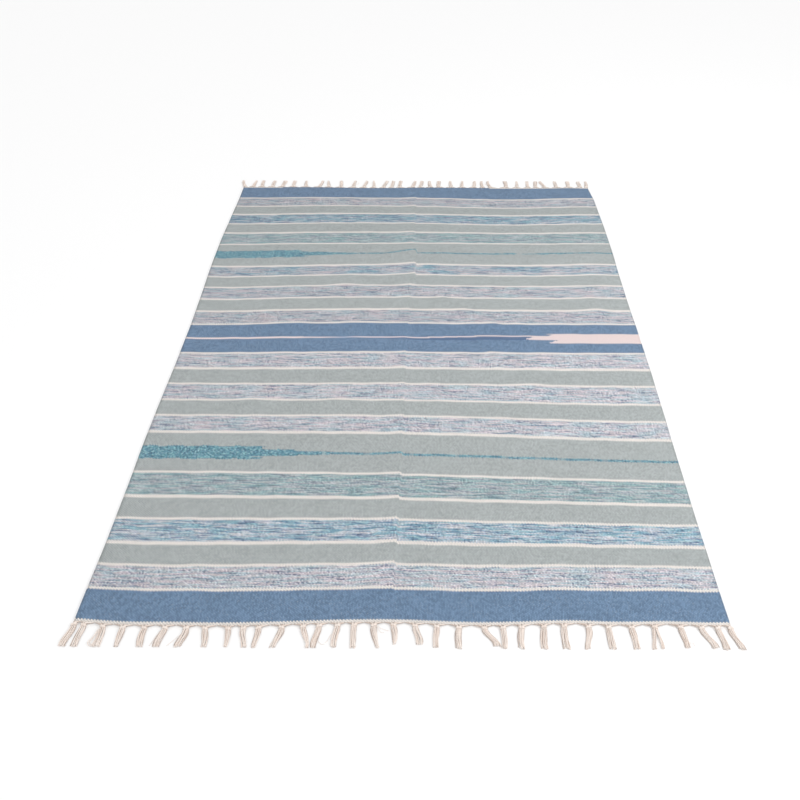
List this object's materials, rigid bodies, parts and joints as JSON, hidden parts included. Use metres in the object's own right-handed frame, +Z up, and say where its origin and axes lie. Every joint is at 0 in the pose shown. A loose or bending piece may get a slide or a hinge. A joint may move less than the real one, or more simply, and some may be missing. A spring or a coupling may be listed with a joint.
{
  "type": "kilim rug",
  "caption": "Flat-woven striped cotton kilim lying flat, with a rolled edge row and knotted warp tassels at both ends.",
  "frame": {"origin": "under the middle of the whole rug, on the surface it lies on", "axes": "+X across the rug, +Y along its warp towards the far fringe, +Z up out of its face"},
  "size_m": [1.4294, 2.1362, 0.0068],
  "materials": {
    "woven_cotton": "matt flat weave in soft blue, sage and mottled bands between thin cream lines",
    "fringe_cotton": "matt undyed cotton yarn, loosely twisted"
  },
  "bodies": {
    "root": {"kilim_web": "woven_cotton", "fringe_near": "fringe_cotton", "fringe_far": "fringe_cotton"}
  },
  "joints": []
}
